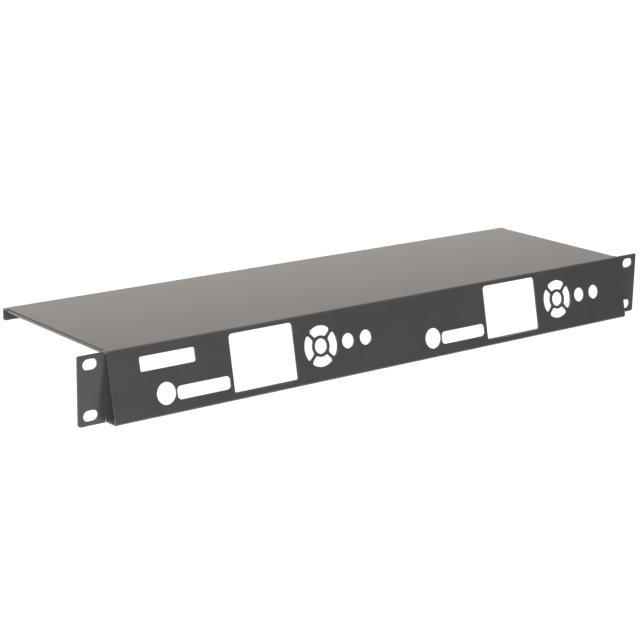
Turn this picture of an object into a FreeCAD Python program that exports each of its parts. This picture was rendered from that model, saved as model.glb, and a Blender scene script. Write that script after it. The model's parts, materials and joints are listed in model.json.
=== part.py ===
import FreeCAD, Part
import math
import os

# One-unit shelf for a 19 inch rack, folded from a single steel sheet.
# The plate lies on top, with a lip turned down at the rear and a hem folded flat under each side. At the
# front the sheet folds down into a panel whose foot leans forward, and then back into a bottom flange.
# Both ends of the flange turn up into the rack ears. Two alike sets of cut-outs in the panel leave the
# fronts of two devices open.
#
# Frame: the origin is midway between the four rack slots, on the rear face of the ears, which meets the
# rack. X runs to the right, Y to the rear and Z up. All sizes are in millimetres.

# Rack hole pattern, between slot centres
HOLE_SPACING_X = 465.1
HOLE_SPACING_Z = 31.75
SLOT_LENGTH = 10.0
SLOT_WIDTH = 6.8

# Margins from the slot centres to the edges of the sheet
EAR_SIDE_MARGIN = 8.75          # to the ear's outer edge
EAR_END_MARGIN = 6.125          # to the ear's upper and lower edges
BODY_END_MARGIN = 10.75         # to the end of the folded body

# Sheet and folds
SHEET = 1.2
BEND_INSIDE = 0.3

# Side view, measured from the rear face of the ears
FOLD_FORWARD = 2.45             # outer corner of the top fold, in front
FOOT_FORWARD = 12.2             # outer corner of the panel's foot, in front
PLATE_REAR = 123.8              # outer face of the rear lip, behind
LIP_HEIGHT = 8.5
LIP_CORNER = 1.5

# Hems along the sides of the plate
HEM_FRONT = 4.0                 # from the rear face of the ears to the hem's front end
HEM_REAR_MARGIN = 6.5           # from the rear lip's outer face to the hem's rear end
HEM_REACH = 8.0                 # of the lower layer, under the plate
HEM_GAP = 0.1                   # between the two layers
HEM_RELIEF_WIDTH = 1.0          # of the notches at both ends of a hem
HEM_RELIEF_DEPTH = 0.5          # of the notches, past the start of the hem's fold

# Ears
EAR_FOOT_CORNER = 2.0
EAR_HEAD_CORNER = 1.0
EAR_GAP = 0.5                   # between the ear and the end of the body
EAR_ROOT = 18.0                 # width of the fold that joins an ear to the flange
ROOT_RELIEF_WIDTH = 1.5         # of the notch in the flange at the inner end of that fold
ROOT_RELIEF_DEPTH = 0.75        # of the notch, past the start of that fold
SLIT_RISE = 1.2                 # of the slit at the outer end of that fold, past the end of the fold
TAB_CLEARANCE = 0.25            # between the ear's inner tab and the panel and plate beside it
TAB_CORNER = 1.0

# Screen window of each set, placed from the ends of the body and from the panel's two folds
LEFT_WINDOW_INSET = 112.65      # from the left end of the body to the window's middle
RIGHT_WINDOW_INSET = 114.5      # from the right end of the body to the window's middle
WINDOW_WIDTH = 49.5
WINDOW_FOOT_MARGIN = 4.5
WINDOW_HEAD_MARGIN = 2.8
WINDOW_CORNER = 2.5

# Cut-outs to the left of the window, each placed by the web of sheet left beside it
CARD_WEB = 2.4                  # from the window to the card slot
CARD_RISE = 12.45               # of the slot's middle, above the panel's foot
CARD_WIDTH = 39.7
CARD_HEIGHT = 8.5
CARD_CORNER = 2.85
SOCKET_WEB = 0.75               # from the card slot to the round socket
SOCKET_RISE = 13.65             # of the socket's middle, above the panel's foot
SOCKET_DIAMETER = 14.0
LABEL_WEB = 26.0                # from the window to the label window
LABEL_DROP = 11.05              # of the label window's middle, below the top fold
LABEL_WIDTH = 40.2
LABEL_HEIGHT = 9.2
LABEL_CORNER = 1.3

# Round pad and push buttons to the right of the window, in one row a little above the panel's middle
ROW_RISE = 0.95
PAD_WEB = 7.9                   # from the window to the pad
PAD_OUTER_DIAMETER = 26.9
PAD_INNER_DIAMETER = 14.0
PAD_BAR = 2.1                   # width of the two crossed bars
PAD_TURN = 45.0                 # of the bars from upright, in degrees
PAD_CORNER = 1.7
PAD_CORNER_SHARE = 0.45         # most of the ring's width that one rounded corner takes
BUTTON_WEB = 4.1                # from the pad to the first button
BUTTON_SPACING = 15.0
BUTTON_DIAMETER = 10.0

# How far a cutter passes each face of the sheet
OVERCUT = 0.4

# Derived sizes
V = FreeCAD.Vector
QUARTER_TURN = 90
SEAT = 0                        # plane of the ears' rear face, where the flange ends too
BEND_OUTSIDE = BEND_INSIDE + SHEET
TOP = HOLE_SPACING_Z / 2 + EAR_END_MARGIN
BOTTOM = -TOP
LIP_FOOT = TOP - LIP_HEIGHT
BODY_END = HOLE_SPACING_X / 2 - BODY_END_MARGIN
EAR_START = BODY_END + EAR_GAP
EAR_END = HOLE_SPACING_X / 2 + EAR_SIDE_MARGIN
ROOT_START = BODY_END - EAR_ROOT
ROOT_FOLD_Y = SEAT - BEND_OUTSIDE
ROOT_FOLD_Z = BOTTOM + BEND_OUTSIDE
PANEL_LEAN = math.atan2(FOOT_FORWARD - FOLD_FORWARD, TOP - BOTTOM)
PANEL_LENGTH = (TOP - BOTTOM) / math.cos(PANEL_LEAN)
ROW_HEIGHT = PANEL_LENGTH / 2 + ROW_RISE

# The hem's fold: its outer and inner radius, its axis, and the hem's rear end
HEM_INSIDE = HEM_GAP / 2
HEM_OUTSIDE = HEM_INSIDE + SHEET
HEM_AXIS_X = BODY_END - HEM_OUTSIDE
HEM_AXIS_Z = TOP - HEM_OUTSIDE
HEM_REAR = PLATE_REAR - HEM_REAR_MARGIN

# The ear's inner tab ends where it would come too near the plate, the panel's back or the fold between them
PLATE_DROP = SHEET + TAB_CLEARANCE
PANEL_BACK = SHEET / math.cos(PANEL_LEAN) - FOLD_FORWARD
PANEL_DROP = (PANEL_BACK + TAB_CLEARANCE + SHEET) / math.tan(PANEL_LEAN)
FOLD_AXIS_Y = PANEL_BACK - BEND_OUTSIDE * math.tan(PANEL_LEAN) + BEND_INSIDE / math.cos(PANEL_LEAN)
FREE_RADIUS = max(0, BEND_INSIDE - TAB_CLEARANCE)
FREE_RISE = math.sqrt(max(0, FREE_RADIUS ** 2 - (FOLD_AXIS_Y + SHEET) ** 2))
FOLD_DROP = BEND_OUTSIDE - FREE_RISE
TAB_TOP = TOP - max(PLATE_DROP, PANEL_DROP, FOLD_DROP)

# Middles of the cut-outs, across the panel from the window's middle
CARD_OFFSET = -WINDOW_WIDTH / 2 - CARD_WEB - CARD_WIDTH / 2
SOCKET_OFFSET = CARD_OFFSET - CARD_WIDTH / 2 - SOCKET_WEB - SOCKET_DIAMETER / 2
LABEL_OFFSET = -WINDOW_WIDTH / 2 - LABEL_WEB - LABEL_WIDTH / 2
PAD_OFFSET = WINDOW_WIDTH / 2 + PAD_WEB + PAD_OUTER_DIAMETER / 2
BUTTON_OFFSET = PAD_OFFSET + PAD_OUTER_DIAMETER / 2 + BUTTON_WEB + BUTTON_DIAMETER / 2

# The panel's own frame: x across, y up the slope from the foot, z out of the front face
PANEL = FreeCAD.Placement(
    V(0, -FOOT_FORWARD, BOTTOM),
    FreeCAD.Rotation(V(1, 0, 0), QUARTER_TURN - math.degrees(PANEL_LEAN)),
)


def round_corner(before, corner, after, radius):
    """Where a tangent arc enters a corner, the arc itself, and where it leaves."""
    if radius == 0:
        return corner, None, corner
    back = (before - corner).normalize()
    ahead = (after - corner).normalize()
    half_angle = back.getAngle(ahead) / 2
    setback = radius / math.tan(half_angle)
    entry = corner + back * setback
    leave = corner + ahead * setback
    middle = corner + (back + ahead).normalize() * (radius / math.sin(half_angle) - radius)
    return entry, Part.Arc(entry, middle, leave).toShape(), leave


def closed_outline(corners, radii):
    """Closed wire through the corners, each rounded by its own radius, or sharp where that is 0."""
    before = corners[-1:] + corners[:-1]
    after = corners[1:] + corners[:1]
    rounded = [round_corner(*corner) for corner in zip(before, corners, after, radii)]
    edges = []
    start = rounded[-1][2]
    for entry, arc, leave in rounded:
        if start.distanceToPoint(entry) > Part.Precision.confusion():
            edges.append(Part.LineSegment(start, entry).toShape())
        if arc:
            edges.append(arc)
        start = leave
    return Part.Wire(edges)


def rectangle(x, y, width, height, low_radius=0, high_radius=0):
    """Rectangle about its middle, with a radius for its two lower and one for its two upper corners."""
    left = x - width / 2
    right = x + width / 2
    low = y - height / 2
    high = y + height / 2
    half_side = min(width, height) / 2
    low_radius = min(low_radius, half_side)
    high_radius = min(high_radius, half_side)
    corners = [V(left, low, 0), V(right, low, 0), V(right, high, 0), V(left, high, 0)]
    return closed_outline(corners, [low_radius, low_radius, high_radius, high_radius])


def circle(x, y, diameter):
    """Circle about its middle."""
    return Part.Wire(Part.makeCircle(diameter / 2, V(x, y, 0)))


def folded_section(points):
    """Section of the sheet in the side view, from (y, z) corners of its outer face, folded to the left."""
    outer = [V(0, y, z) for y, z in points]
    runs = [(end - start).normalize() for start, end in zip(outer, outer[1:])]
    inward = [V(0, -run.z, run.y) for run in runs]
    inner = [outer[0] + inward[0] * SHEET]
    for corner, first, second in zip(outer[1:], inward, inward[1:]):
        inner.append(corner + (first + second) * (SHEET / (1 + first.dot(second))))
    inner.append(outer[-1] + inward[-1] * SHEET)
    folds = len(outer) - 2
    radii = [0] + [BEND_OUTSIDE] * folds + [0, 0] + [BEND_INSIDE] * folds + [0]
    return Part.Face(closed_outline(outer + inner[::-1], radii))


def along_x(section, start, end):
    """A solid with the given section, from one x to another."""
    solid = section.extrude(V(end - start, 0, 0))
    solid.translate(V(start, 0, 0))
    return solid


def folded_body():
    """Rear lip, plate, panel and bottom flange, in one run, with the lip's lower corners rounded."""
    section = folded_section([
        (PLATE_REAR, LIP_FOOT),
        (PLATE_REAR, TOP),
        (-FOLD_FORWARD, TOP),
        (-FOOT_FORWARD, BOTTOM),
        (SEAT, BOTTOM),
    ])
    body = along_x(section, -BODY_END, BODY_END)
    lip_ends = [
        edge for edge in body.Edges
        if abs(edge.CenterOfMass.z - LIP_FOOT) < Part.Precision.confusion()
        and abs(abs(edge.CenterOfMass.x) - BODY_END) < Part.Precision.confusion()
    ]
    return body.makeFillet(LIP_CORNER, lip_ends)


def through_plane(outlines, low):
    """Cutters through a level run of the sheet, from outlines in plan and the height of its lower face."""
    cutters = [Part.Face(outline).extrude(V(0, 0, SHEET + 2 * OVERCUT)) for outline in outlines]
    for cutter in cutters:
        cutter.translate(V(0, 0, low - OVERCUT))
    return cutters


def root_cutters():
    """What the right end of the flange loses: the strip that the ear's fold takes, and a notch beside it."""
    strip_width = EAR_ROOT + OVERCUT
    strip_depth = SEAT - ROOT_FOLD_Y + OVERCUT
    notch_depth = strip_depth + ROOT_RELIEF_DEPTH
    notch_x = ROOT_START - ROOT_RELIEF_WIDTH / 2
    notch_y = ROOT_FOLD_Y - ROOT_RELIEF_DEPTH + notch_depth / 2
    strip = rectangle(ROOT_START + strip_width / 2, ROOT_FOLD_Y + strip_depth / 2, strip_width, strip_depth)
    notch = rectangle(notch_x, notch_y, ROOT_RELIEF_WIDTH, notch_depth, ROOT_RELIEF_WIDTH / 2)
    return through_plane([strip, notch], BOTTOM)


def hem_cutters():
    """What the right side of the plate loses: the strip that the hem's fold takes, and a notch at each end."""
    strip_width = HEM_OUTSIDE + OVERCUT
    strip = rectangle(
        HEM_AXIS_X + strip_width / 2, (HEM_FRONT + HEM_REAR) / 2, strip_width, HEM_REAR - HEM_FRONT
    )
    notch_width = strip_width + HEM_RELIEF_DEPTH
    notch_x = HEM_AXIS_X - HEM_RELIEF_DEPTH + notch_width / 2
    notches = [
        rectangle(notch_x, y, notch_width, HEM_RELIEF_WIDTH)
        for y in (HEM_FRONT - HEM_RELIEF_WIDTH / 2, HEM_REAR + HEM_RELIEF_WIDTH / 2)
    ]
    return through_plane([strip] + notches, TOP - SHEET)


def right_hem():
    """The half turn at the right side of the plate, and the layer that lies flat under it."""
    axis = V(HEM_AXIS_X, HEM_FRONT, HEM_AXIS_Z)
    outer = [axis + V(0, 0, HEM_OUTSIDE), axis + V(HEM_OUTSIDE, 0, 0), axis - V(0, 0, HEM_OUTSIDE)]
    inner = [axis - V(0, 0, HEM_INSIDE), axis + V(HEM_INSIDE, 0, 0), axis + V(0, 0, HEM_INSIDE)]
    reach = V(HEM_REACH, 0, 0)
    corners = [outer[2], outer[2] - reach, inner[0] - reach, inner[0]]
    edges = [Part.Arc(*outer).toShape()]
    edges += [Part.LineSegment(a, b).toShape() for a, b in zip(corners, corners[1:])]
    edges += [Part.Arc(*inner).toShape(), Part.LineSegment(inner[2], outer[0]).toShape()]
    return Part.Face(Part.Wire(edges)).extrude(V(0, HEM_REAR - HEM_FRONT, 0))


def right_ear():
    """Flat ear with its inner tab and slots, and the quarter fold that joins it to the flange."""
    slit_top = ROOT_FOLD_Z + SLIT_RISE
    slit_round = EAR_GAP / 2
    corners = [
        (ROOT_START, ROOT_FOLD_Z, 0),
        (BODY_END, ROOT_FOLD_Z, 0),
        (BODY_END, slit_top, slit_round),
        (EAR_START, slit_top, slit_round),
        (EAR_START, BOTTOM, 0),
        (EAR_END, BOTTOM, EAR_FOOT_CORNER),
        (EAR_END, TOP, EAR_HEAD_CORNER),
        (EAR_START, TOP, 0),
        (EAR_START, TAB_TOP, TAB_CORNER),
        (ROOT_START, TAB_TOP, TAB_CORNER),
    ]
    outline = closed_outline([V(x, z, 0) for x, z, _ in corners], [radius for _, _, radius in corners])
    slot_end = SLOT_WIDTH / 2
    slots = [
        rectangle(HOLE_SPACING_X / 2, z, SLOT_LENGTH, SLOT_WIDTH, slot_end, slot_end)
        for z in (-HOLE_SPACING_Z / 2, HOLE_SPACING_Z / 2)
    ]
    ear = Part.Face(outline).cut([Part.Face(slot) for slot in slots]).extrude(V(0, 0, SHEET))
    ear.rotate(V(0, 0, 0), V(1, 0, 0), QUARTER_TURN)
    root_section = folded_section([
        (ROOT_FOLD_Y, BOTTOM),
        (SEAT, BOTTOM),
        (SEAT, ROOT_FOLD_Z),
    ])
    return [ear, along_x(root_section, ROOT_START, BODY_END)]


def through_panel(outline):
    """Cutter through the sheet, from an outline drawn on the panel's front face."""
    cutter = Part.Face(outline).extrude(V(0, 0, SHEET + 2 * OVERCUT))
    cutter.translate(V(0, 0, -SHEET - OVERCUT))
    return cutter


def pad_cutters(x):
    """The round pad's four sectors: a ring parted by two crossed bars, then turned to the diagonals."""
    ring = through_panel(circle(0, 0, PAD_OUTER_DIAMETER)).cut(
        through_panel(circle(0, 0, PAD_INNER_DIAMETER))
    )
    bar = through_panel(rectangle(0, 0, 2 * PAD_OUTER_DIAMETER, PAD_BAR))
    sectors = ring.cut([bar, bar.rotated(V(0, 0, 0), V(0, 0, 1), QUARTER_TURN)])
    ring_width = (PAD_OUTER_DIAMETER - PAD_INNER_DIAMETER) / 2
    corner = min(PAD_CORNER, PAD_CORNER_SHARE * ring_width)
    cutters = []
    for sector in sectors.Solids:
        upright = [edge for edge in sector.Edges if edge.BoundBox.ZLength > SHEET]
        rounded = sector.makeFillet(corner, upright)
        rounded.rotate(V(0, 0, 0), V(0, 0, 1), PAD_TURN)
        rounded.translate(V(x, ROW_HEIGHT, 0))
        cutters.append(rounded)
    return cutters


def device_cutters(window_x):
    """One set of cut-outs: round socket, card slot, screen window, round pad and two push buttons."""
    window_head = PANEL_LENGTH - WINDOW_HEAD_MARGIN
    window_middle = (WINDOW_FOOT_MARGIN + window_head) / 2
    window_height = window_head - WINDOW_FOOT_MARGIN
    card_x = window_x + CARD_OFFSET
    pad_x = window_x + PAD_OFFSET
    button_x = window_x + BUTTON_OFFSET
    outlines = [
        circle(window_x + SOCKET_OFFSET, SOCKET_RISE, SOCKET_DIAMETER),
        rectangle(card_x, CARD_RISE, CARD_WIDTH, CARD_HEIGHT, CARD_CORNER, CARD_CORNER),
        rectangle(window_x, window_middle, WINDOW_WIDTH, window_height, WINDOW_CORNER, WINDOW_CORNER),
        circle(pad_x, ROW_HEIGHT, BUTTON_DIAMETER),
        circle(button_x, ROW_HEIGHT, BUTTON_DIAMETER),
        circle(button_x + BUTTON_SPACING, ROW_HEIGHT, BUTTON_DIAMETER),
    ]
    return [through_panel(outline) for outline in outlines] + pad_cutters(pad_x)


def label_cutter(window_x):
    """The label window above the socket and the card slot."""
    label_rise = PANEL_LENGTH - LABEL_DROP
    label_x = window_x + LABEL_OFFSET
    return through_panel(
        rectangle(label_x, label_rise, LABEL_WIDTH, LABEL_HEIGHT, LABEL_CORNER, LABEL_CORNER)
    )


def panel_cutters():
    """Both sets of cut-outs, and the label window that only the left set has, placed on the panel."""
    left_window = LEFT_WINDOW_INSET - BODY_END
    right_window = BODY_END - RIGHT_WINDOW_INSET
    cutters = device_cutters(left_window) + device_cutters(right_window) + [label_cutter(left_window)]
    for cutter in cutters:
        cutter.Placement = PANEL.multiply(cutter.Placement)
    return cutters


def on_both_ends(solids):
    """The solids of the right end, with their mirror images at the left end."""
    return solids + [solid.mirror(V(0, 0, 0), V(1, 0, 0)) for solid in solids]


def folded_shelf():
    """The whole shelf as one solid."""
    body = folded_body().cut(panel_cutters() + on_both_ends(root_cutters() + hem_cutters()))
    return body.fuse(on_both_ends(right_ear() + [right_hem()])).removeSplitter()


os.makedirs("parts", exist_ok=True)
folded_shelf().exportStep("parts/folded_shelf.step")
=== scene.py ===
"""Rack shelf folded from one powder-coated steel sheet, over a pale studio floor."""
import json
import math

import bmesh
import bpy
from mathutils import Matrix, Vector
from mathutils.geometry import delaunay_2d_cdt


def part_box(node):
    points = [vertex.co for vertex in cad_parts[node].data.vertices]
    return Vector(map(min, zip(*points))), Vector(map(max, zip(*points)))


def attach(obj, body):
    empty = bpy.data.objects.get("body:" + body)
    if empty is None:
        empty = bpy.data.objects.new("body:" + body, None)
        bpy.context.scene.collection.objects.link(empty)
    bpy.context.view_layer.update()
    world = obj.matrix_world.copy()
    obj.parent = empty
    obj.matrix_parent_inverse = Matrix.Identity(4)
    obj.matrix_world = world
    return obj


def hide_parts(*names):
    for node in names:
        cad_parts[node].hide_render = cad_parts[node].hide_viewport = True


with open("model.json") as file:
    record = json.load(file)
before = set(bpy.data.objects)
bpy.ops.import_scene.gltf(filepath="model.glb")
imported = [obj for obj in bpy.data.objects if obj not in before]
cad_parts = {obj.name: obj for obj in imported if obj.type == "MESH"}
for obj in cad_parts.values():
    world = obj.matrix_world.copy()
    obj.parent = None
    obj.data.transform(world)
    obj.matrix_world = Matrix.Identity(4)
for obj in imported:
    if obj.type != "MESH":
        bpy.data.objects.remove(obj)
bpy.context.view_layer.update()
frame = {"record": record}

# The shelf's sizes and the camera's place are in millimetres, the stage and the lamps in metres
MM = 0.001

# Outer limits of the sheet and its rack slots, from the frame
low_corner, high_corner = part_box("folded_shelf")
RACK = next(mount["dims"] for mount in frame["record"]["mounts"] if mount["name"] == "rack_mount")
TOP = high_corner.z / MM
BOTTOM = low_corner.z / MM
EAR_END = high_corner.x / MM
PLATE_REAR = high_corner.y / MM
HOLE_SPACING_X = RACK["spacing_x_mm"]
HOLE_SPACING_Z = RACK["spacing_y_mm"]
SLOT_LENGTH = RACK["slot_length_mm"]
SLOT_WIDTH = 2 * RACK["hole_r_mm"]

# Sheet, folds and the side view, measured from the rear face of the ears
SHEET = 1.2
BEND_INSIDE = 0.3
SEAT = 0.0
FOLD_FORWARD = 2.45
FOOT_FORWARD = 12.2
LIP_HEIGHT = 8.5
LIP_CORNER = 1.5

# Hems along the sides of the plate
HEM_FRONT = 4.0
HEM_REAR_MARGIN = 6.5
HEM_REACH = 8.0
HEM_GAP = 0.1
HEM_RELIEF_WIDTH = 1.0
HEM_RELIEF_DEPTH = 0.5

# Ears and the folds that join them to the bottom flange
BODY_END_MARGIN = 10.75
EAR_FOOT_CORNER = 2.0
EAR_HEAD_CORNER = 1.0
EAR_GAP = 0.5
EAR_ROOT = 18.0
ROOT_RELIEF_WIDTH = 1.5
ROOT_RELIEF_DEPTH = 0.75
SLIT_RISE = 1.2
TAB_CLEARANCE = 0.25
TAB_CORNER = 1.0

# Screen window of each set of cut-outs
LEFT_WINDOW_INSET = 112.65
RIGHT_WINDOW_INSET = 114.5
WINDOW_WIDTH = 49.5
WINDOW_FOOT_MARGIN = 4.5
WINDOW_HEAD_MARGIN = 2.8
WINDOW_CORNER = 2.5

# Cut-outs to the left of the window
CARD_WEB = 2.4
CARD_RISE = 12.45
CARD_WIDTH = 39.7
CARD_HEIGHT = 8.5
CARD_CORNER = 2.85
SOCKET_WEB = 0.75
SOCKET_RISE = 13.65
SOCKET_DIAMETER = 14.0
LABEL_WEB = 26.0
LABEL_DROP = 11.05
LABEL_WIDTH = 40.2
LABEL_HEIGHT = 9.2
LABEL_CORNER = 1.3

# Round pad and push buttons to the right of the window
ROW_RISE = 0.95
PAD_WEB = 7.9
PAD_OUTER_RADIUS = 13.45
PAD_INNER_RADIUS = 7.0
PAD_BAR = 2.1
PAD_CORNER = 1.7
BUTTON_WEB = 4.1
BUTTON_SPACING = 15.0
BUTTON_DIAMETER = 10.0

# Rounding that the coat gives to every cut edge, and how finely curves are drawn
EDGE_RADIUS = 0.28
EDGE_STEPS = 4
BEND_STEPS = 12
ARC_STEP = math.radians(6)
SHARP_ANGLE = math.radians(40)

# Points nearer than this count as one
CLOSE = EDGE_RADIUS / 20

# Settings of the triangulation: its tolerance, and its kind of output, triangles inside the outlines
TRIANGLE_TOLERANCE = CLOSE / 10
INSIDE_OUTLINES = 1

# Derived sizes
BEND_OUTSIDE = BEND_INSIDE + SHEET
LIP_FOOT = TOP - LIP_HEIGHT
BODY_END = HOLE_SPACING_X / 2 - BODY_END_MARGIN
EAR_START = BODY_END + EAR_GAP
ROOT_START = BODY_END - EAR_ROOT
ROOT_FOLD_Y = SEAT - BEND_OUTSIDE
ROOT_FOLD_Z = BOTTOM + BEND_OUTSIDE
PANEL_LEAN = math.atan2(FOOT_FORWARD - FOLD_FORWARD, TOP - BOTTOM)
PANEL_LENGTH = (TOP - BOTTOM) / math.cos(PANEL_LEAN)
ROW_HEIGHT = PANEL_LENGTH / 2 + ROW_RISE
HEM_OUTSIDE = SHEET + HEM_GAP / 2
HEM_TURN = math.pi * HEM_OUTSIDE
HEM_AXIS_X = BODY_END - HEM_OUTSIDE
HEM_AXIS_Z = TOP - HEM_OUTSIDE
CARD_OFFSET = -WINDOW_WIDTH / 2 - CARD_WEB - CARD_WIDTH / 2
SOCKET_OFFSET = CARD_OFFSET - CARD_WIDTH / 2 - SOCKET_WEB - SOCKET_DIAMETER / 2
LABEL_OFFSET = -WINDOW_WIDTH / 2 - LABEL_WEB - LABEL_WIDTH / 2
PAD_OFFSET = WINDOW_WIDTH / 2 + PAD_WEB + PAD_OUTER_RADIUS
BUTTON_OFFSET = PAD_OFFSET + PAD_OUTER_RADIUS + BUTTON_WEB + BUTTON_DIAMETER / 2


# The folded sheet in the side view
class Straight:
    """A flat run of the sheet in the side view, from one place along the sheet to another."""

    def __init__(self, start, point, run, length):
        self.start = start
        self.end = start + length
        self.point = point
        self.run = run
        self.inward = Vector((-run.y, run.x))

    def place(self, along, depth):
        """The (y, z) point at a place along the sheet and a depth under its outer face."""
        return self.point + self.run * (along - self.start) + self.inward * depth


class Bend:
    """A fold between two flat runs, always towards the inner face."""

    def __init__(self, start, before, turn):
        self.start = start
        self.end = start + BEND_OUTSIDE * turn
        self.centre = before.place(start, BEND_OUTSIDE)
        self.first_angle = math.atan2(-before.inward.y, -before.inward.x)

    def place(self, along, depth):
        """The (y, z) point at a place along the sheet and a depth under its outer face."""
        angle = self.first_angle + (along - self.start) / BEND_OUTSIDE
        return self.centre + (BEND_OUTSIDE - depth) * Vector((math.cos(angle), math.sin(angle)))

    def levels(self):
        """Places along the sheet where the fold is divided, its two ends among them."""
        step = (self.end - self.start) / BEND_STEPS
        return [self.start + step * number for number in range(BEND_STEPS + 1)]


def folded_path(corners, start):
    """Flat runs and folds in turn, through (y, z) corners of the sheet's outer face."""
    runs = [(end - begin).normalized() for begin, end in zip(corners, corners[1:])]
    path = []
    point = corners[0]
    for number, run in enumerate(runs):
        corner = corners[number + 1]
        is_last = number == len(runs) - 1
        turn = 0 if is_last else run.angle(runs[number + 1])
        setback = BEND_OUTSIDE * math.tan(turn / 2)
        flat = Straight(start, point, run, (corner - point).length - setback)
        path.append(flat)
        if not is_last:
            fold = Bend(flat.end, flat, turn)
            path.append(fold)
            start = fold.end
            point = corner + runs[number + 1] * setback
    return path


BODY_PATH = folded_path(
    [
        Vector((PLATE_REAR, LIP_FOOT)),
        Vector((PLATE_REAR, TOP)),
        Vector((-FOLD_FORWARD, TOP)),
        Vector((-FOOT_FORWARD, BOTTOM)),
        Vector((SEAT, BOTTOM)),
    ],
    0.0,
)
LIP, REAR_FOLD, PLATE, TOP_FOLD, FRONT_PANEL, FOOT_FOLD, FLANGE = BODY_PATH
ROOT = FLANGE.end - BEND_OUTSIDE
EAR_PATH = folded_path(
    [Vector((ROOT_FOLD_Y, BOTTOM)), Vector((SEAT, BOTTOM)), Vector((SEAT, TOP))],
    ROOT,
)
_, EAR_FOLD, EAR = EAR_PATH
PANEL_HEAD = FRONT_PANEL.start - BEND_OUTSIDE * math.tan((math.pi / 2 - PANEL_LEAN) / 2)

# The ears' inner tabs end just under the inside of the fold between plate and panel
FREE_RADIUS = max(0, BEND_INSIDE - TAB_CLEARANCE)
FREE_RISE = math.sqrt(max(0, FREE_RADIUS ** 2 - (TOP_FOLD.centre.x + SHEET) ** 2))
TAB_TOP = min(TOP - SHEET - TAB_CLEARANCE, TOP_FOLD.centre.y + FREE_RISE)

# The hems' ends, as places along the sheet, and their outer edge in the flat pattern
HEM_FIRST = PLATE.start + PLATE.point.x - (PLATE_REAR - HEM_REAR_MARGIN)
HEM_LAST = PLATE.start + PLATE.point.x - HEM_FRONT
HEM_FLAT_END = HEM_AXIS_X + HEM_TURN + HEM_REACH
HEM_LEVELS = [HEM_AXIS_X + HEM_TURN * number / BEND_STEPS for number in range(BEND_STEPS + 1)]


def on_ear_root(x):
    """True across the fold that joins an ear to the flange."""
    return ROOT_START - EDGE_RADIUS < abs(x) < BODY_END + EDGE_RADIUS


def on_hem(x, along):
    """True where the flat pattern turns under the plate."""
    margin = HEM_RELIEF_WIDTH / 2
    return abs(x) > HEM_AXIS_X - EDGE_RADIUS and HEM_FIRST - margin < along < HEM_LAST + margin


def hem_point(x, along, depth):
    """Point of a hem, in metres: round its half turn, then straight back under the plate."""
    past = max(0, abs(x) - HEM_AXIS_X)
    turn = min(past, HEM_TURN) / HEM_OUTSIDE
    radius = HEM_OUTSIDE - depth
    side = HEM_AXIS_X + radius * math.sin(turn) - max(0, past - HEM_TURN)
    height = HEM_AXIS_Z + radius * math.cos(turn)
    return Vector((math.copysign(side, x), PLATE.place(along, depth).x, height)) * MM


def sheet_point(x, along, depth):
    """Point of the folded sheet, in metres, from its flat pattern and a depth under its outer face."""
    if on_hem(x, along) and abs(x) > HEM_AXIS_X:
        return hem_point(x, along, depth)
    path = BODY_PATH
    if abs(x) > BODY_END + EAR_GAP / 2:
        path = [EAR]
    elif along > FLANGE.end or (along > ROOT and on_ear_root(x)):
        path = EAR_PATH
    piece = next((piece for piece in path if along <= piece.end), path[-1])
    side = piece.place(along, depth)
    return Vector((x, side.x, side.y)) * MM


def up_panel(height):
    """Place along the sheet of a height up the panel's slope, counted from its foot."""
    return PANEL_HEAD + PANEL_LENGTH - height


def up_ear(z):
    """Place along the sheet of a height on the ears."""
    return EAR.start + z - ROOT_FOLD_Z


# Outlines in the flat pattern, as lists of points
def arc(x, y, radius, start, end):
    """Points on an arc, both its ends among them."""
    steps = max(2, math.ceil(abs(end - start) / ARC_STEP))
    angles = [start + (end - start) * number / steps for number in range(steps + 1)]
    return [Vector((x + radius * math.cos(angle), y + radius * math.sin(angle))) for angle in angles]


def circle(x, y, diameter):
    """Points on a full circle."""
    return arc(x, y, diameter / 2, 0, 2 * math.pi)[:-1]


def rounded(corners):
    """Points round an outline of (x, y, radius) corners, sharp where the radius is 0."""
    places = [Vector((x, y)) for x, y, _ in corners]
    points = []
    for number, (_, _, radius) in enumerate(corners):
        corner = places[number]
        if radius == 0:
            points.append(corner)
            continue
        before = (corner - places[number - 1]).normalized()
        after = (places[(number + 1) % len(places)] - corner).normalized()
        turn = math.atan2(before.cross(after), before.dot(after))
        side = math.copysign(1, turn)
        entry = corner - before * (radius * math.tan(abs(turn) / 2))
        centre = entry + Vector((-before.y, before.x)) * (radius * side)
        first = math.atan2(entry.y - centre.y, entry.x - centre.x)
        points += arc(centre.x, centre.y, radius, first, first + turn)
    return points


def rectangle(x, y, width, height, radius):
    """Points round a rounded rectangle about its middle."""
    left = x - width / 2
    right = x + width / 2
    low = y - height / 2
    high = y + height / 2
    corners = [(left, low), (right, low), (right, high), (left, high)]
    return rounded([(*corner, radius) for corner in corners])


def pad_sector(x, y, direction):
    """Points round one of the pad's four keys: a piece of a ring between two bars, with round corners."""
    eighth = math.pi / 4
    reach = PAD_BAR / 2 + PAD_CORNER
    outer_middle = PAD_OUTER_RADIUS - PAD_CORNER
    inner_middle = PAD_INNER_RADIUS + PAD_CORNER
    outer_half = eighth - math.asin(reach / outer_middle)
    inner_half = eighth - math.asin(reach / inner_middle)
    to_bar = math.pi / 2 + eighth
    half = arc(0, 0, PAD_OUTER_RADIUS, 0, outer_half)
    for middle, angle, start, end in (
        (outer_middle, outer_half, outer_half, to_bar),
        (inner_middle, inner_half, to_bar, math.pi + inner_half),
    ):
        half += arc(middle * math.cos(angle), middle * math.sin(angle), PAD_CORNER, start, end)
    half += arc(0, 0, PAD_INNER_RADIUS, inner_half, 0)
    mirrored = [Vector((point.x, -point.y)) for point in reversed(half)]
    turned = Matrix.Rotation(direction, 2)
    return [turned @ point + Vector((x, y)) for point in half + mirrored]


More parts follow.
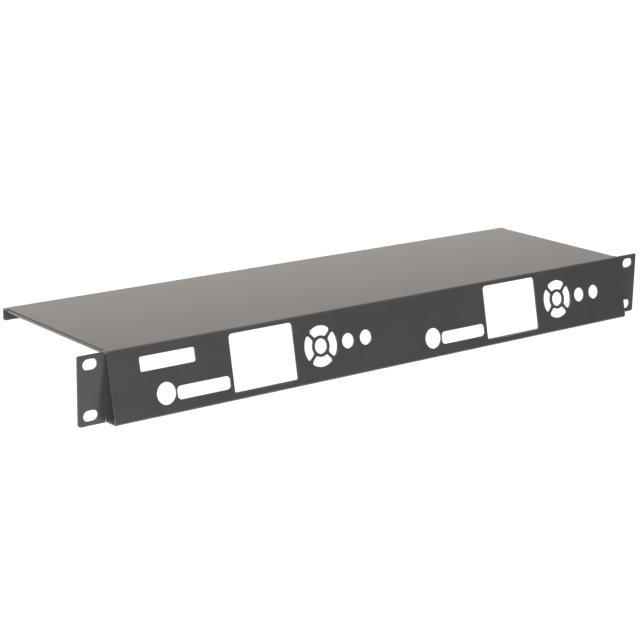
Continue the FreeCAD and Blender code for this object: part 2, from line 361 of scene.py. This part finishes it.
def device_outlines(window_x):
    """One set of cut-outs on the panel, in (x, height up the slope)."""
    window_head = PANEL_LENGTH - WINDOW_HEAD_MARGIN
    window_middle = (WINDOW_FOOT_MARGIN + window_head) / 2
    window_height = window_head - WINDOW_FOOT_MARGIN
    pad_x = window_x + PAD_OFFSET
    button_x = window_x + BUTTON_OFFSET
    outlines = [
        circle(window_x + SOCKET_OFFSET, SOCKET_RISE, SOCKET_DIAMETER),
        rectangle(window_x + CARD_OFFSET, CARD_RISE, CARD_WIDTH, CARD_HEIGHT, CARD_CORNER),
        rectangle(window_x, window_middle, WINDOW_WIDTH, window_height, WINDOW_CORNER),
        circle(pad_x, ROW_HEIGHT, BUTTON_DIAMETER),
        circle(button_x, ROW_HEIGHT, BUTTON_DIAMETER),
        circle(button_x + BUTTON_SPACING, ROW_HEIGHT, BUTTON_DIAMETER),
    ]
    return outlines + [pad_sector(pad_x, ROW_HEIGHT, quarter * math.pi / 2) for quarter in range(4)]


def hole_outlines():
    """All cut-outs of the panel and the rack slots of the ears, in the flat pattern."""
    left_window = LEFT_WINDOW_INSET - BODY_END
    right_window = BODY_END - RIGHT_WINDOW_INSET
    label_x = left_window + LABEL_OFFSET
    label = rectangle(label_x, PANEL_LENGTH - LABEL_DROP, LABEL_WIDTH, LABEL_HEIGHT, LABEL_CORNER)
    on_panel = device_outlines(left_window) + device_outlines(right_window) + [label]
    holes = [[Vector((point.x, up_panel(point.y))) for point in outline] for outline in on_panel]
    for x in (-HOLE_SPACING_X / 2, HOLE_SPACING_X / 2):
        for z in (-HOLE_SPACING_Z / 2, HOLE_SPACING_Z / 2):
            holes.append(rectangle(x, up_ear(z), SLOT_LENGTH, SLOT_WIDTH, SLOT_WIDTH / 2))
    return holes


def sheet_outline():
    """Outer edge of the flat pattern: the folded body with its hems and relief notches, and the ears."""
    hem_notch = HEM_AXIS_X - HEM_RELIEF_DEPTH
    root_notch = ROOT - ROOT_RELIEF_DEPTH
    root_notch_round = ROOT_RELIEF_WIDTH / 2
    slit_top = up_ear(ROOT_FOLD_Z + SLIT_RISE)
    slit_round = EAR_GAP / 2
    right_side = [
        (BODY_END, LIP.start, LIP_CORNER),
        (BODY_END, HEM_FIRST - HEM_RELIEF_WIDTH, 0),
        (hem_notch, HEM_FIRST - HEM_RELIEF_WIDTH, 0),
        (hem_notch, HEM_FIRST, 0),
        (HEM_FLAT_END, HEM_FIRST, 0),
        (HEM_FLAT_END, HEM_LAST, 0),
        (hem_notch, HEM_LAST, 0),
        (hem_notch, HEM_LAST + HEM_RELIEF_WIDTH, 0),
        (BODY_END, HEM_LAST + HEM_RELIEF_WIDTH, 0),
        (BODY_END, slit_top, slit_round),
        (EAR_START, slit_top, slit_round),
        (EAR_START, up_ear(BOTTOM), 0),
        (EAR_END, up_ear(BOTTOM), EAR_FOOT_CORNER),
        (EAR_END, up_ear(TOP), EAR_HEAD_CORNER),
        (EAR_START, up_ear(TOP), 0),
        (EAR_START, up_ear(TAB_TOP), TAB_CORNER),
        (ROOT_START, up_ear(TAB_TOP), TAB_CORNER),
        (ROOT_START, root_notch, root_notch_round),
        (ROOT_START - ROOT_RELIEF_WIDTH, root_notch, root_notch_round),
        (ROOT_START - ROOT_RELIEF_WIDTH, FLANGE.end, 0),
    ]
    left_side = [(-x, along, radius) for x, along, radius in reversed(right_side)]
    return with_fold_points(rounded(right_side + left_side))


def with_fold_points(points):
    """The outline with added points where its straight sides cross the divisions of the folds."""
    body_levels = REAR_FOLD.levels() + TOP_FOLD.levels() + FOOT_FOLD.levels() + EAR_FOLD.levels()
    full = []
    for start, end in zip(points, points[1:] + points[:1]):
        full.append(start)
        added = []
        if abs(start.x - end.x) < CLOSE and abs(abs(start.x) - BODY_END) < CLOSE:
            added = [Vector((start.x, level)) for level in body_levels]
        elif abs(start.x - end.x) < CLOSE and on_ear_root(start.x):
            added = [Vector((start.x, level)) for level in EAR_FOLD.levels()]
        elif abs(start.y - end.y) < CLOSE and (on_hem(*start) or on_hem(*end)):
            added = [Vector((math.copysign(level, start.x), start.y)) for level in HEM_LEVELS]
        way = end - start
        inner = [point for point in added if 0 < (point - start).dot(way) < way.length_squared]
        full += sorted(inner, key=lambda point: (point - start).dot(way))
    return full


# The solid sheet as one mesh
def signed_area(points):
    """Area of an outline, above 0 where it runs anticlockwise."""
    return sum(start.cross(end) for start, end in zip(points, points[1:] + points[:1])) / 2


def without_repeats(points):
    """The outline without points that lie on the one before them."""
    closed = zip(points[-1:] + points[:-1], points)
    return [point for before, point in closed if (point - before).length > CLOSE]


def out_of_sheet(points):
    """How far each point moves in a unit step out of the sheet, which lies on the outline's left."""
    steps = []
    for before, point, after in zip(points[-1:] + points[:-1], points, points[1:] + points[:1]):
        first = (point - before).normalized()
        second = (after - point).normalized()
        first_out = Vector((first.y, -first.x))
        second_out = Vector((second.y, -second.x))
        steps.append((first_out + second_out) / (1 + first_out.dot(second_out)))
    return steps


def edge_rings():
    """(inset, depth) of the rings across a cut edge, from the sheet's outer face to its inner face."""
    rings = []
    for number in range(EDGE_STEPS + 1):
        angle = math.pi / 2 * number / EDGE_STEPS
        rings.append((EDGE_RADIUS * (1 - math.sin(angle)), EDGE_RADIUS * (1 - math.cos(angle))))
    return rings + [(inset, SHEET - depth) for inset, depth in reversed(rings)]


def inside(point, outline):
    """True where a point lies inside an outline."""
    crossings = 0
    for start, end in zip(outline, outline[1:] + outline[:1]):
        if (start.y > point.y) != (end.y > point.y):
            share = (point.y - start.y) / (end.y - start.y)
            crossings += point.x < start.x + share * (end.x - start.x)
    return crossings % 2 == 1


def fold_edges(points):
    """Pairs of outline points that face each other at the same division of a fold."""
    pairs = []
    for fold in (REAR_FOLD, TOP_FOLD, FOOT_FOLD, EAR_FOLD):
        for level in fold.levels():
            row = [
                number for number, point in enumerate(points)
                if abs(point.y - level) < CLOSE
                and (on_ear_root(point.x) if fold is EAR_FOLD else abs(point.x) < EAR_START)
            ]
            row.sort(key=lambda number: points[number].x)
            pairs += list(zip(row[0::2], row[1::2]))
    for level in HEM_LEVELS:
        for side in (-level, level):
            pairs.append(tuple(
                number for number, point in enumerate(points)
                if abs(point.x - side) < CLOSE and on_hem(*point)
            ))
    return pairs


def flat_triangles(loops):
    """Triangles between the loops of the flat pattern, the first loop being its outer edge."""
    points = sum(loops, [])
    owner = sum(([number] * len(loop) for number, loop in enumerate(loops)), [])
    edges = fold_edges(loops[0])
    first = 0
    for loop in loops:
        edges += [(first + number, first + (number + 1) % len(loop)) for number in range(len(loop))]
        first += len(loop)
    found, _, faces, sources, _, _ = delaunay_2d_cdt(
        points, edges, [], INSIDE_OUTLINES, TRIANGLE_TOLERANCE
    )
    assert len(found) == len(points), (len(found), len(points))
    triangles = []
    for face in faces:
        corners = [sources[number][0] for number in face]
        hole = owner[corners[0]]
        middle = sum((points[number] for number in corners), Vector((0, 0))) / len(corners)
        joins_one_hole = hole > 0 and all(owner[number] == hole for number in corners)
        if not (joins_one_hole and inside(middle, loops[hole])):
            triangles.append(corners)
    return triangles


def make_edges(bm, outlines, steps):
    """Rings of vertices across the rounded cut edge of each outline, with the faces between them."""
    edges = []
    for outline, out in zip(outlines, steps):
        rings = []
        for inset, depth in edge_rings():
            places = [point - step * inset for point, step in zip(outline, out)]
            rings.append([bm.verts.new(sheet_point(place.x, place.y, depth)) for place in places])
        edges.append(rings)
    for rings in edges:
        for upper, lower in zip(rings, rings[1:]):
            for number in range(len(upper)):
                bm.faces.new((upper[number - 1], upper[number], lower[number], lower[number - 1]))
    return edges


def make_faces(bm, outlines, steps, edges):
    """The sheet's outer and inner face, which meet the first and the last ring of every cut edge."""
    inset_loops = [
        [point - step * EDGE_RADIUS for point, step in zip(outline, out)]
        for outline, out in zip(outlines, steps)
    ]
    outer_face = sum((rings[0] for rings in edges), [])
    inner_face = sum((rings[-1] for rings in edges), [])
    for corners in flat_triangles(inset_loops):
        bm.faces.new([outer_face[number] for number in corners])
        bm.faces.new([inner_face[number] for number in reversed(corners)])


def make_sheet():
    """The folded sheet: its two faces, and rounded edges round its outline and every hole."""
    outlines = [without_repeats(outline) for outline in [sheet_outline()] + hole_outlines()]
    for number, outline in enumerate(outlines):
        if (signed_area(outline) > 0) != (number == 0):
            outline.reverse()
    steps = [out_of_sheet(outline) for outline in outlines]
    bm = bmesh.new()
    edges = make_edges(bm, outlines, steps)
    make_faces(bm, outlines, steps, edges)
    bmesh.ops.recalc_face_normals(bm, faces=bm.faces)
    mesh = bpy.data.meshes.new("shelf_sheet")
    bm.to_mesh(mesh)
    bm.free()
    mesh.shade_smooth()
    mesh.set_sharp_from_angle(angle=SHARP_ANGLE)
    sheet = bpy.data.objects.new("shelf_sheet", mesh)
    bpy.context.scene.collection.objects.link(sheet)
    weighted = sheet.modifiers.new("flat_faces_keep_their_normals", "WEIGHTED_NORMAL")
    weighted.keep_sharp = True
    return sheet


# Nodes of materials and light
def grey(level):
    """A neutral colour."""
    return (level, level, level, 1)


def set_inputs(node, values):
    """Put constant values on a node's inputs."""
    for name, value in values.items():
        node.inputs[name].default_value = value


def new_node(tree, kind, values):
    """A new node with constant values on its inputs."""
    node = tree.nodes.new(kind)
    set_inputs(node, values)
    return node


def new_ramp(tree, stops):
    """A new colour ramp through (position, colour) stops."""
    node = tree.nodes.new("ShaderNodeValToRGB")
    elements = node.color_ramp.elements
    while len(elements) < len(stops):
        elements.new(1)
    for element, (position, colour) in zip(elements, stops):
        element.position = position
        element.color = colour
    return node


def share_along(tree, vector, way, first, last):
    """How far a vector reaches along a way: 0 at the first mark, 1 at the last."""
    reach = tree.nodes.new("ShaderNodeVectorMath")
    reach.operation = "DOT_PRODUCT"
    reach.inputs[1].default_value = way
    tree.links.new(vector, reach.inputs[0])
    share = new_node(tree, "ShaderNodeMapRange", {"From Min": first, "From Max": last})
    tree.links.new(reach.outputs["Value"], share.inputs["Value"])
    return share.outputs["Result"]


def new_material(name, values):
    """A new material, its nodes, its shader with constant inputs, and the place that textures read."""
    material = bpy.data.materials.new(name)
    material.use_nodes = True
    tree = material.node_tree
    shader = tree.nodes["Principled BSDF"]
    set_inputs(shader, values)
    place = tree.nodes.new("ShaderNodeTexCoord")
    return material, tree, shader, place.outputs["Object"]


# Powder coat, with the scales of its textures per metre
COAT_SHADER = {"IOR": 1.5}
COAT_CLOUDS = {"Scale": 22.0, "Detail": 4.0, "Roughness": 0.55}
COAT_TONES = [(0.3, (0.045, 0.0436, 0.0428, 1)), (0.7, (0.052, 0.0503, 0.0494, 1))]
COAT_ROUGHNESS = {"To Min": 0.15, "To Max": 0.21}
COAT_GRAIN = {"Scale": 2600.0, "Detail": 2.0, "Roughness": 0.6}
COAT_GRAIN_BUMP = {"Strength": 0.25, "Distance": 0.006 * MM}
COAT_PEEL = {"Scale": 620.0, "Detail": 1.5, "Roughness": 0.45}
COAT_PEEL_BUMP = {"Strength": 0.35, "Distance": 0.03 * MM}


def powder_coat():
    """Dark satin powder coat: a faint cloudiness, a fine grain and the low waves of orange peel."""
    material, tree, shader, place = new_material("powder_coat", COAT_SHADER)
    clouds = new_node(tree, "ShaderNodeTexNoise", COAT_CLOUDS)
    grain = new_node(tree, "ShaderNodeTexNoise", COAT_GRAIN)
    peel = new_node(tree, "ShaderNodeTexNoise", COAT_PEEL)
    for texture in (clouds, grain, peel):
        tree.links.new(place, texture.inputs["Vector"])
    colour = new_ramp(tree, COAT_TONES)
    tree.links.new(clouds.outputs["Fac"], colour.inputs["Fac"])
    tree.links.new(colour.outputs["Color"], shader.inputs["Base Color"])
    rough = new_node(tree, "ShaderNodeMapRange", COAT_ROUGHNESS)
    tree.links.new(grain.outputs["Fac"], rough.inputs["Value"])
    tree.links.new(rough.outputs["Result"], shader.inputs["Roughness"])
    fine = new_node(tree, "ShaderNodeBump", COAT_GRAIN_BUMP)
    tree.links.new(grain.outputs["Fac"], fine.inputs["Height"])
    wavy = new_node(tree, "ShaderNodeBump", COAT_PEEL_BUMP)
    tree.links.new(peel.outputs["Fac"], wavy.inputs["Height"])
    tree.links.new(fine.outputs["Normal"], wavy.inputs["Normal"])
    tree.links.new(wavy.outputs["Normal"], shader.inputs["Normal"])
    return material


# Stage: the floor, and a card just over it, with its tones between two marks along a way; the card's
# greys are painted shade that only reflections show
MATT_SHADER = {"Roughness": 0.9, "Specular IOR Level": 0.1}
GROUND_HALF = 20.0
FLOOR_DROP = 0.48
FLOOR_CLOUDS = {"Scale": 3.0, "Detail": 3.0}
FLOOR_TONES = [(0.0, (0.93, 0.935, 0.945, 1)), (1.0, (0.95, 0.955, 0.965, 1))]
REFLECTOR_LIFT = 0.001
REFLECTOR_WAY = (0.66, -0.75, 0.0)
REFLECTOR_START = -1.25
REFLECTOR_END = 2.35
REFLECTOR_WHITE = (0.94, 0.945, 0.955, 1)
# Painted shade in the card's tones: dark grey behind the shelf, for the shade under and behind it, and
# dim grey far off at the front right, where the light falls off
REFLECTOR_PAINTED_SHADE_TONES = [(0.0, grey(0.10)), (0.2, REFLECTOR_WHITE), (0.68, REFLECTOR_WHITE), (1.0, grey(0.21))]


def floor_paint():
    """Matt white with a very faint cloudiness."""
    material, tree, shader, place = new_material("floor_paint", MATT_SHADER)
    clouds = new_node(tree, "ShaderNodeTexNoise", FLOOR_CLOUDS)
    tree.links.new(place, clouds.inputs["Vector"])
    white = new_ramp(tree, FLOOR_TONES)
    tree.links.new(clouds.outputs["Fac"], white.inputs["Fac"])
    tree.links.new(white.outputs["Color"], shader.inputs["Base Color"])
    return material


def reflector_painted_shade():
    """Matt white in front of the shelf, with painted shade: grey behind it and further off at the front
    right.
    """
    material, tree, shader, place = new_material("reflector_painted_shade", MATT_SHADER)
    tone = new_ramp(tree, REFLECTOR_PAINTED_SHADE_TONES)
    share = share_along(tree, place, REFLECTOR_WAY, REFLECTOR_START, REFLECTOR_END)
    tree.links.new(share, tone.inputs["Fac"])
    tree.links.new(tone.outputs["Color"], shader.inputs["Base Color"])
    return material


def make_ground(name, height, paint):
    """A wide level plane at a height, as a part of the stage."""
    mesh = bpy.data.meshes.new(name)
    corners = [(-GROUND_HALF, -GROUND_HALF), (GROUND_HALF, -GROUND_HALF)]
    corners += [(GROUND_HALF, GROUND_HALF), (-GROUND_HALF, GROUND_HALF)]
    mesh.from_pydata([(x, y, height) for x, y in corners], [], [(0, 1, 2, 3)])
    ground = bpy.data.objects.new(name, mesh)
    ground.data.materials.append(paint)
    bpy.context.scene.collection.objects.link(ground)
    return ground


def make_stage():
    """A pale floor well below the shelf, which a rack holds, and a card with painted shade that only
    reflections show.
    """
    floor_height = BOTTOM * MM - FLOOR_DROP
    floor = make_ground("floor", floor_height, floor_paint())
    floor.visible_glossy = False
    card = make_ground("reflection_card", floor_height + REFLECTOR_LIFT, reflector_painted_shade())
    card.visible_camera = False
    card.visible_diffuse = False
    card.visible_shadow = False


# Light tent round the stage: each of its lights has colours between two marks along a way of looking
TENT_STRENGTH = 2.0
TENT_SIDES_WAY = (0.6, 0.8, 0.0)
TENT_SIDES_START = -1.0
TENT_SIDES_END = 1.0
TENT_SIDES = [(0.0, grey(0.11)), (0.3, grey(0.06)), (0.42, grey(0.05)), (0.72, grey(0.115))]
TENT_TOP_WAY = (-0.6, 0.0, 0.8)
TENT_TOP_START = 0.6
TENT_TOP_END = 0.8
TENT_TOP = [(0.0, grey(0.0)), (1.0, grey(1.15))]
TENT_GLOW_WAY = (0.1125, 0.487, -0.866)
TENT_GLOW_START = 0.152
TENT_GLOW_END = 0.45
TENT_GLOW = [(0.0, grey(0.0)), (0.62, (0.80, 0.726, 0.65, 1)), (0.82, grey(0.0))]


def tent_light(tree, stops, way, first, last):
    """Colour of one light of the tent, through (position, colour) stops between two marks."""
    look = tree.nodes.new("ShaderNodeTexCoord")
    ramp = new_ramp(tree, stops)
    tree.links.new(share_along(tree, look.outputs["Generated"], way, first, last), ramp.inputs["Fac"])
    return ramp.outputs["Color"]


def sum_of(tree, first, second):
    """Two colours added."""
    both = tree.nodes.new("ShaderNodeMixRGB")
    both.blend_type = "ADD"
    tree.links.new(first, both.inputs["Color1"])
    tree.links.new(second, both.inputs["Color2"])
    set_inputs(both, {"Fac": 1.0})
    return both.outputs["Color"]


def make_world():
    """Surroundings like a light tent: dim sides, a bright upper left and a warm glow low at the rear."""
    world = bpy.data.worlds.new("light_tent")
    world.use_nodes = True
    tree = world.node_tree
    sides = tent_light(tree, TENT_SIDES, TENT_SIDES_WAY, TENT_SIDES_START, TENT_SIDES_END)
    top = tent_light(tree, TENT_TOP, TENT_TOP_WAY, TENT_TOP_START, TENT_TOP_END)
    glow = tent_light(tree, TENT_GLOW, TENT_GLOW_WAY, TENT_GLOW_START, TENT_GLOW_END)
    background = tree.nodes["Background"]
    set_inputs(background, {"Strength": TENT_STRENGTH})
    tree.links.new(sum_of(tree, sum_of(tree, sides, top), glow), background.inputs["Color"])
    bpy.context.scene.world = world


# Lamps: place, aim, width and height, radiance, and the watts for each square metre and unit of radiance
FRONT_LAMP_PLACE = Vector((-0.8, -0.45, 0.8))
FRONT_LAMP_AIM = Vector((-0.15, 0.0, 0.0))
FRONT_LAMP_SIZE = (0.6, 0.6)
FRONT_LAMP_RADIANCE = 10.9
EDGE_LAMP_PLACE = Vector((-0.9, 1.15, -0.12))
EDGE_LAMP_AIM = Vector((-0.23, 0.03, 0.0))
EDGE_LAMP_SIZE = (0.9, 0.75)
EDGE_LAMP_RADIANCE = 1.75
LAMP_WATTS = 4.0


def make_lamp(name, place, aim, size, radiance):
    """A soft white rectangular lamp, aimed at a point."""
    width, height = size
    data = bpy.data.lights.new(name, "AREA")
    data.shape = "RECTANGLE"
    data.size = width
    data.size_y = height
    data.energy = LAMP_WATTS * radiance * width * height
    lamp = bpy.data.objects.new(name, data)
    lamp.location = place
    lamp.rotation_euler = (aim - place).to_track_quat("-Z", "Y").to_euler()
    bpy.context.scene.collection.objects.link(lamp)


def make_lamps():
    """A lamp at the front left, and a low one at the rear left, which the plate's left edge mirrors."""
    make_lamp("front_left", FRONT_LAMP_PLACE, FRONT_LAMP_AIM, FRONT_LAMP_SIZE, FRONT_LAMP_RADIANCE)
    make_lamp("edge_strip", EDGE_LAMP_PLACE, EDGE_LAMP_AIM, EDGE_LAMP_SIZE, EDGE_LAMP_RADIANCE)


# Camera, as fitted to the photograph
CAMERA_AZIMUTH = math.radians(38.627)
CAMERA_ELEVATION = math.radians(15.046)
CAMERA_ROLL = math.radians(1.019)
CAMERA_DISTANCE = 1157.45
CAMERA_TARGET = Vector((-59.767, -SHEET, 16.588))
FOCAL_PIXELS = 1789.08
IMAGE_PIXELS = 640
SENSOR = 36.0


def make_camera():
    """Camera at the photograph's place, with its lens."""
    forward = Vector((
        math.sin(CAMERA_AZIMUTH) * math.cos(CAMERA_ELEVATION),
        math.cos(CAMERA_AZIMUTH) * math.cos(CAMERA_ELEVATION),
        -math.sin(CAMERA_ELEVATION),
    ))
    level = Vector((math.cos(CAMERA_AZIMUTH), -math.sin(CAMERA_AZIMUTH), 0))
    upright = level.cross(forward)
    right = level * math.cos(CAMERA_ROLL) + upright * math.sin(CAMERA_ROLL)
    up = right.cross(forward)
    data = bpy.data.cameras.new("camera")
    data.sensor_width = SENSOR
    data.lens = FOCAL_PIXELS / IMAGE_PIXELS * SENSOR
    camera = bpy.data.objects.new("camera", data)
    turn = Matrix((right, up, -forward)).transposed()
    place = (CAMERA_TARGET - forward * CAMERA_DISTANCE) * MM
    camera.matrix_world = Matrix.Translation(place) @ turn.to_4x4()
    bpy.context.scene.collection.objects.link(camera)
    bpy.context.scene.camera = camera


shelf = make_sheet()
shelf.data.materials.append(powder_coat())
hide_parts("folded_shelf")
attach(shelf, "root")
make_stage()
make_world()
make_lamps()
make_camera()
bpy.context.scene.view_settings.view_transform = "Standard"
